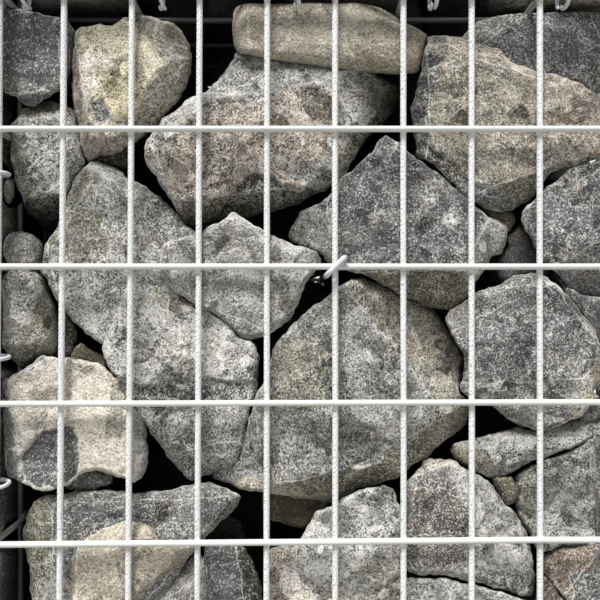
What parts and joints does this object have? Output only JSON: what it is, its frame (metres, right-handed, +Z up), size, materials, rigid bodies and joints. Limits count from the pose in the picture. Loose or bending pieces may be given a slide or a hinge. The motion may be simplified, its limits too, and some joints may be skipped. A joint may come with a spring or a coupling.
{
  "type": "gabion wall",
  "caption": "Free-standing wall of stacked welded-mesh wire baskets packed with stone, with partitions, lids and hooked spacer ties.",
  "frame": {"origin": "middle of the wall's length and depth, on the underside of the lowest mesh", "axes": "+X along the wall to the right, +Y from the front face to the back face, +Z up"},
  "size_m": [0.9994, 0.3182, 0.9998],
  "materials": {
    "mesh_wire": "satin",
    "stone": "matte",
    "tie_wire": "satin"
  },
  "bodies": {
    "root": {"front_mesh_lower_left": "mesh_wire", "front_mesh_lower_right": "mesh_wire", "front_mesh_upper_left": "mesh_wire", "front_mesh_upper_right": "mesh_wire", "back_mesh_lower_left": "mesh_wire", "back_mesh_lower_right": "mesh_wire", "back_mesh_upper_left": "mesh_wire", "back_mesh_upper_right": "mesh_wire", "left_end_mesh_lower": "mesh_wire", "partition_mesh_lower": "mesh_wire", "right_end_mesh_lower": "mesh_wire", "left_end_mesh_upper": "mesh_wire", "partition_mesh_upper": "mesh_wire", "right_end_mesh_upper": "mesh_wire", "base_mesh_lower_left": "mesh_wire", "base_mesh_lower_right": "mesh_wire", "base_mesh_upper_left": "mesh_wire", "base_mesh_upper_right": "mesh_wire", "lid_mesh_left": "mesh_wire", "lid_mesh_right": "mesh_wire", "stone_fill_lower_left": "stone", "stone_fill_lower_right": "stone", "stone_fill_upper_left": "stone", "stone_fill_upper_right": "stone", "spacer_tie_lower_left": "tie_wire", "spacer_tie_lower_right": "tie_wire", "spacer_tie_upper_left": "tie_wire", "spacer_tie_upper_right": "tie_wire"}
  },
  "joints": []
}
